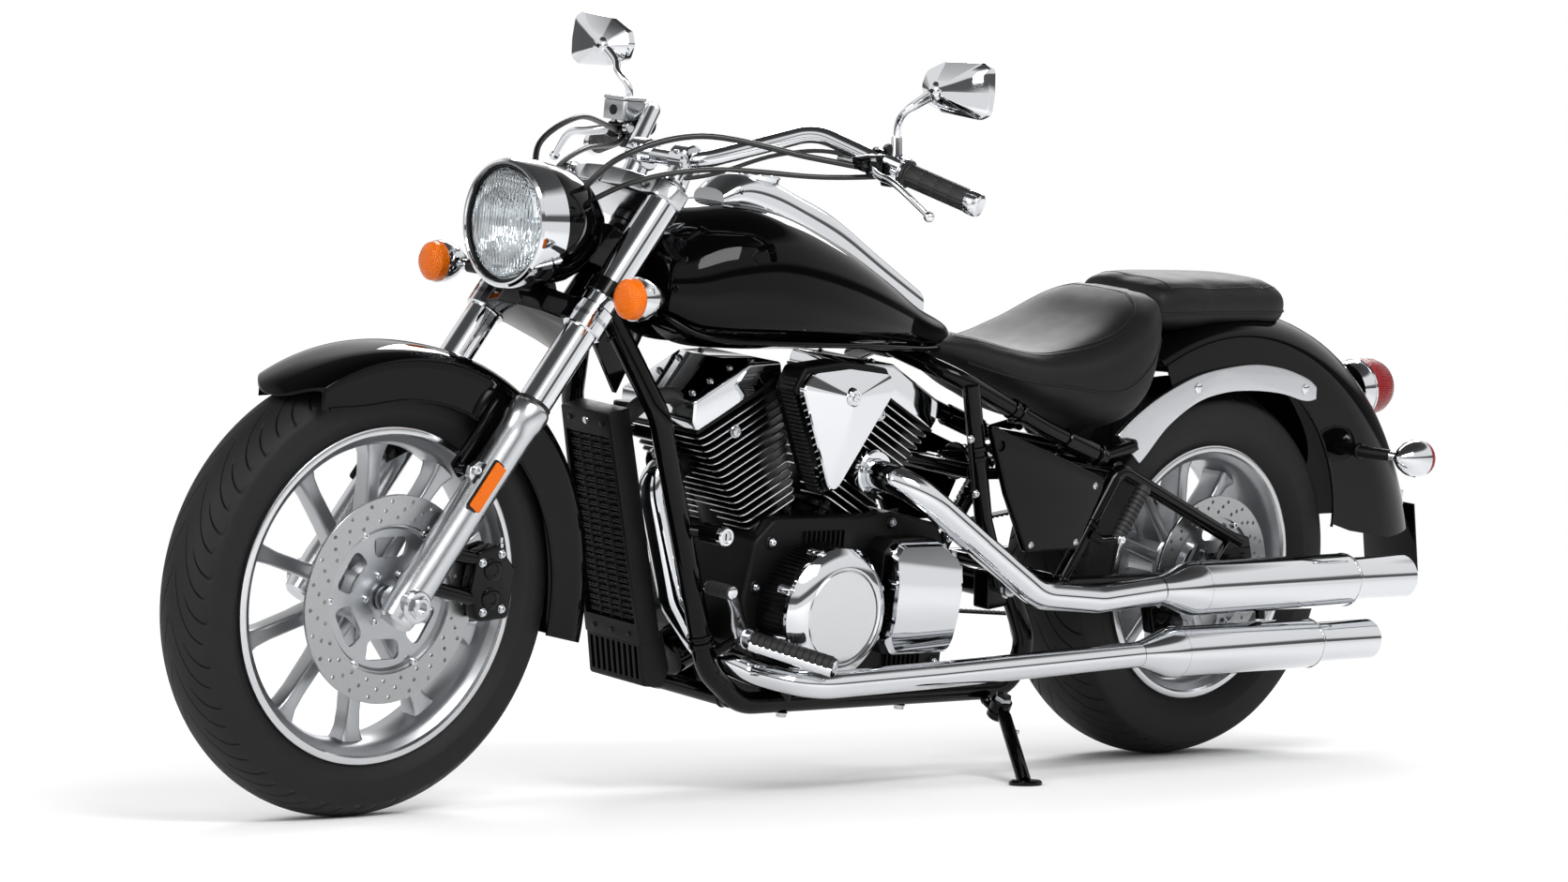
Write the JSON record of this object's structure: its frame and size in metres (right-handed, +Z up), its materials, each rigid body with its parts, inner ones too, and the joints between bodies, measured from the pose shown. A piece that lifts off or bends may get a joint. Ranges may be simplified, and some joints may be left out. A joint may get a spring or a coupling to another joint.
{
  "type": "cruiser motorcycle",
  "caption": "Cruiser motorcycle with a V-twin engine, long fenders and twin silencers, leaning on its side stand.",
  "frame": {"origin": "on the floor, below the middle of the length and of the width of the parked machine", "axes": "+X forward along the wheelbase, +Y to the rider's left, +Z up from the floor"},
  "size_m": [2.6159, 0.9318, 1.2006],
  "materials": {
    "frame_black": "gloss",
    "steel": "satin",
    "caliper_black": "satin",
    "belt_rubber": "matte",
    "engine_black": "satin",
    "chrome": "polished",
    "radiator_black": "matte",
    "gloss_black": "gloss",
    "seat_leather": "matte",
    "satin_alloy": "satin",
    "red_lens": "gloss",
    "satin_black": "satin",
    "peg_rubber": "matte",
    "grip_rubber": "matte",
    "amber_lens": "gloss",
    "cable_black": "satin",
    "cast_alloy": "satin",
    "tyre": "matte",
    "disc_steel": "satin"
  },
  "bodies": {
    "chassis": {"frame": "frame_black", "swingarm": "frame_black", "rear_axle": "steel", "rear_caliper": "caliper_black", "drive_belt": "belt_rubber", "engine_case": "engine_black", "front_cylinder": "engine_black", "rear_cylinder": "engine_black", "head_covers": "chrome", "air_cleaner_box": "engine_black", "air_cleaner_cover": "chrome", "clutch_cover": "chrome", "case_covers": "chrome", "radiator": "radiator_black", "fuel_tank": "gloss_black", "tank_console": "chrome", "rider_seat": "seat_leather", "passenger_seat": "seat_leather", "rear_fender": "gloss_black", "fender_struts": "satin_alloy", "tail_light": "red_lens", "rear_signals": "chrome", "plate_bracket": "satin_black", "side_covers": "gloss_black", "exhaust_upper": "chrome", "exhaust_lower": "chrome", "foot_controls": "satin_alloy", "foot_pegs": "peg_rubber", "rear_shock": "satin_black", "ignition_lock": "satin_black"},
    "steering": {"fork_tubes": "chrome", "fork_sliders": "satin_alloy", "triple_clamps": "satin_alloy", "handlebar": "chrome", "grips": "grip_rubber", "hand_controls": "chrome", "mirrors": "chrome", "headlight": "chrome", "front_signals": "chrome", "front_fender": "gloss_black", "front_axle": "steel", "front_caliper": "caliper_black", "reflectors": "amber_lens", "control_cables": "cable_black"},
    "front_wheel": {"front_rim": "cast_alloy", "front_tyre": "tyre", "front_disc": "disc_steel"},
    "rear_wheel": {"rear_rim": "cast_alloy", "rear_tyre": "tyre", "rear_disc": "disc_steel", "rear_pulley": "cast_alloy"},
    "side_stand": {"side_stand": "satin_black"}
  },
  "joints": [
    {"name": "steering", "type": "hinge", "parent": "chassis", "child": "steering", "pos_m": [0.93478, -0.11356, 0.29019], "axis": [-0.5807, 0.1133, 0.8062], "range_deg": [-34, 34]},
    {"name": "front_wheel", "type": "hinge", "parent": "steering", "child": "front_wheel", "pos_m": [0.982, -0.10887, 0.32354], "axis": [0, 0.9903, -0.1392], "continuous": true},
    {"name": "rear_wheel", "type": "hinge", "parent": "chassis", "child": "rear_wheel", "pos_m": [-0.718, -0.11001, 0.31541], "axis": [0, 0.9903, -0.1392], "continuous": true},
    {"name": "side_stand", "type": "hinge", "parent": "chassis", "child": "side_stand", "pos_m": [-0.198, 0.01483, 0.11154], "axis": [0.1222, 0.5362, 0.8352], "range_deg": [0, 109]}
  ]
}
